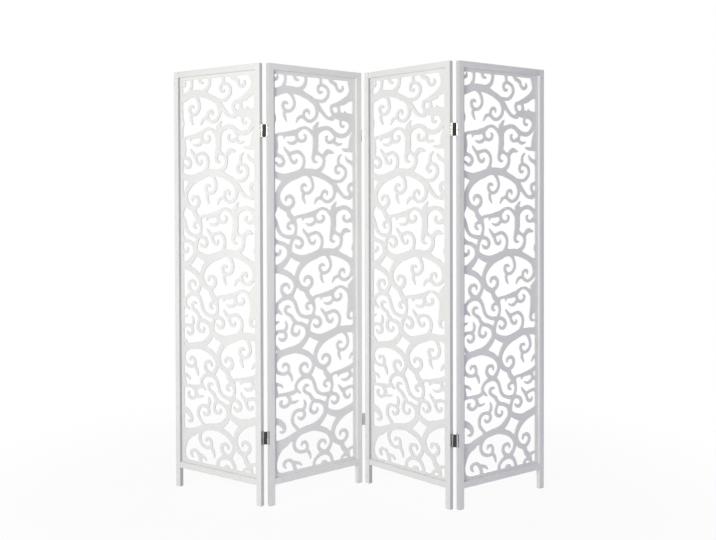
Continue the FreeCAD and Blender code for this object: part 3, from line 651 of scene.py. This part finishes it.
# Screws of the hinge leaves
def screw_head():
    """Points (across, up, out) and faces of a countersunk head: rings of points round its middle, whose
    height out of the leaf is h = dome (1 + rim - (r / R) ** 2) - depth cross(across, up), closed by its
    cone below."""
    share = np.linspace(0, 1, SCREW_RINGS + 1)[1:]
    angle = np.arange(SCREW_SPOKES) * 2 * math.pi / SCREW_SPOKES
    radius, turn = np.meshgrid(share * SCREW_RADIUS, angle, indexing="ij")
    x, y = radius * np.cos(turn), radius * np.sin(turn)

    def inside(value, limit):
        return np.clip((limit - np.abs(value)) / RECESS_SLOPE + 0.5, 0, 1)

    cross = np.maximum(inside(x, RECESS_WIDTH / 2) * inside(y, RECESS_LENGTH / 2),
                       inside(y, RECESS_WIDTH / 2) * inside(x, RECESS_LENGTH / 2))
    height = SCREW_DOME * (1 + SCREW_RIM_RISE - (radius / SCREW_RADIUS) ** 2) - RECESS_DEPTH * cross
    cone = np.stack([SCREW_CONE_SHARE * x[-1], SCREW_CONE_SHARE * y[-1],
                     np.full(SCREW_SPOKES, -SCREW_DEPTH)], 1)
    dome = np.stack([x, y, height], -1).reshape(-1, 3)
    points = np.concatenate([[[0, 0, SCREW_DOME - RECESS_DEPTH]], dome, cone, [[0, 0, -SCREW_DEPTH]]])
    spoke = np.arange(SCREW_SPOKES)
    after = (spoke + 1) % SCREW_SPOKES
    faces = [[0, 1 + a, 1 + b] for a, b in zip(spoke, after)]
    for ring in range(SCREW_RINGS):
        low, high = 1 + ring * SCREW_SPOKES, 1 + (ring + 1) * SCREW_SPOKES
        faces += np.stack([low + spoke, high + spoke, high + after, low + after], 1).tolist()
    last = 1 + SCREW_RINGS * SCREW_SPOKES
    faces += [[last + b, last + a, len(points) - 1] for a, b in zip(spoke, after)]
    return points, faces


def make_screws():
    """Two heads in each leaf: one on its middle line beside the link's barrel, one behind its own knuckle.
    Out is the way the leaf faces along its panel, and also tells the half that its knuckle is in."""
    head, faces = screw_head()
    both_faces = faces + [[corner + len(head) for corner in face] for face in faces]
    for join in range(len(PINS)):
        for level, hinge_z in HINGE_HEIGHTS.items():
            for side, panel, edge, out in (("left", join, PANEL_WIDTH, 1), ("right", join + 1, 0, -1)):
                both = []
                for back, rise in ((0, -out * SCREW_RISE), (SCREW_ASIDE, out * SCREW_RISE)):
                    both.append(np.stack([edge + out * head[:, 2], back + out * head[:, 0],
                                          hinge_z + rise + head[:, 1]], 1))
                name = "join_%d_%d_%s_%s_screws" % (join + 1, join + 2, level, side)
                points = panel_points(np.concatenate(both), panel)
                made(name, points, both_faces, "panel_%d" % (panel + 1), SCREW_ZINC)


make_screws()


# Finishes of the solids
def solid_finish(name):
    """The material of the solid of that name: panel_N_PIECE or join_N_M_LEVEL_PIECE."""
    words = name.split("_")
    number = int(words[1]) - 1
    if name.endswith("stile"):
        return STILE_LACQUERS_WITH_PAINTED_SHADE[number]
    if name.endswith("rail"):
        return RAIL_LACQUERS[number]
    if name.endswith("board"):
        return BOARD_LACQUER
    if name.endswith("leaf"):
        return WORN_LEAF_NICKEL_WITH_PAINTED_SHADE if name.endswith("lower_left_leaf") else BRIGHT_LEAF_NICKEL
    if name.endswith("link"):
        return LINK_FINISHES[number, words[3]]
    return PIN_STEEL


def dress_solids():
    """Frames and hinges keep their solids, with their finishes, some of which carry painted shade, and the
    frames get eased edges.
    """
    for name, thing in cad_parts.items():
        thing.data.materials.clear()
        thing.data.materials.append(solid_finish(name))
        if name.endswith("stile") or name.endswith("rail"):
            weld = thing.modifiers.new("weld", "WELD")
            weld.merge_threshold = FRAME_WELD
            eased = thing.modifiers.new("eased", "BEVEL")
            eased.width = FRAME_EASING
            eased.segments = 2
            eased.limit_method = "ANGLE"
            eased.angle_limit = FRAME_EASING_FROM
            eased.harden_normals = True
            eased.loop_slide = False


dress_solids()


# Floor, backdrop, light and camera
def seen_directly(tree):
    """The socket that is 1 for what the camera sees, also in a mirror or through glass, and else 0."""
    rays = add(tree, "ShaderNodeLightPath").outputs
    seen = rays["Is Camera Ray"]
    for kind in ("Is Glossy Ray", "Is Transmission Ray"):
        seen = add(tree, "ShaderNodeMath", {0: seen, 1: rays[kind]}, operation="MAXIMUM").outputs[0]
    return seen


def make_floor():
    """A pale floor that is white far from the screen and keeps its shadow near it."""
    mesh = bpy.data.meshes.new("floor")
    corners = [(x * FLOOR_REACH, y * FLOOR_REACH, 0) for x, y in ((-1, -1), (1, -1), (1, 1), (-1, 1))]
    mesh.from_pydata(corners, [], [(0, 1, 2, 3)])
    floor = bpy.data.objects.new("floor", mesh)
    bpy.context.scene.collection.objects.link(floor)
    material = bpy.data.materials.new("pale_floor")
    material.use_nodes = True
    tree = material.node_tree
    tree.nodes.clear()
    place = add(tree, "ShaderNodeTexCoord").outputs["Object"]
    away = add(tree, "ShaderNodeVectorMath", {0: place}, operation="LENGTH")
    fade = add(tree, "ShaderNodeMapRange", {"Value": away.outputs["Value"], **FLOOR_FADE},
               interpolation_type="SMOOTHSTEP")
    part = add(tree, "ShaderNodeMath", {0: seen_directly(tree), 1: fade.outputs[0]}, operation="MULTIPLY")
    matt = add(tree, "ShaderNodeBsdfDiffuse", {"Color": colour(FLOOR_TONE)})
    white = add(tree, "ShaderNodeEmission", {"Color": (1, 1, 1, 1), "Strength": 1.0})
    both = add(tree, "ShaderNodeMixShader", {0: part.outputs[0], 1: matt.outputs[0], 2: white.outputs[0]})
    add(tree, "ShaderNodeOutputMaterial", {"Surface": both.outputs[0]})
    floor.data.materials.append(material)


def make_room():
    """A room that lights the screen with a soft cool light and looks white."""
    world = bpy.data.worlds.new("studio")
    bpy.context.scene.world = world
    world.use_nodes = True
    tree = world.node_tree
    tree.nodes.clear()
    room = add(tree, "ShaderNodeBackground", {"Color": colour(ROOM_TONE), "Strength": ROOM_STRENGTH})
    white = add(tree, "ShaderNodeBackground", {"Color": (1, 1, 1, 1), "Strength": 1.0})
    both = add(tree, "ShaderNodeMixShader", {0: seen_directly(tree), 1: room.outputs[0],
                                             2: white.outputs[0]})
    add(tree, "ShaderNodeOutputWorld", {"Surface": both.outputs[0]})


def area_light(name, place, aim, size, power, tint):
    """A rectangular lamp at the place, turned to the aim."""
    light = bpy.data.lights.new(name, "AREA")
    light.shape = "RECTANGLE"
    light.size, light.size_y = size
    light.energy = power
    light.color = colour(tint)[:3]
    lamp = bpy.data.objects.new(name, light)
    bpy.context.scene.collection.objects.link(lamp)
    lamp.location = place
    lamp.rotation_euler = (Vector(aim) - Vector(place)).to_track_quat("-Z", "Y").to_euler()


def make_camera():
    """The camera of the photograph: its place, pitch and roll, with the lens shifted to frame the screen."""
    pitch, roll = math.radians(CAMERA_PITCH), math.radians(CAMERA_ROLL)
    right = Vector((1, 0, 0))
    ahead_of_it = Vector((0, math.cos(pitch), -math.sin(pitch)))
    above = Vector((0, math.sin(pitch), math.cos(pitch)))
    side = right * math.cos(roll) + above * math.sin(roll)
    top = above * math.cos(roll) - right * math.sin(roll)
    turned = Matrix((side, top, -ahead_of_it)).transposed().to_4x4()
    lens = bpy.data.cameras.new("camera")
    lens.sensor_width = SENSOR_WIDTH
    lens.sensor_fit = "HORIZONTAL"
    lens.lens = FOCAL_LENGTH / PICTURE_WIDTH * SENSOR_WIDTH
    lens.shift_x = (PICTURE_WIDTH / 2 - STRAIGHT_AHEAD[0]) / PICTURE_WIDTH
    lens.shift_y = (STRAIGHT_AHEAD[1] - PICTURE_HEIGHT / 2) / PICTURE_WIDTH
    lens.clip_start, lens.clip_end = 0.05, 60.0
    camera = bpy.data.objects.new("camera", lens)
    bpy.context.scene.collection.objects.link(camera)
    camera.matrix_world = Matrix.Translation(CAMERA_PLACE) @ turned
    bpy.context.scene.camera = camera


make_floor()
make_room()
for name, settings in LAMPS.items():
    area_light(name, *settings)
make_camera()
bpy.context.scene.view_settings.view_transform = "Standard"
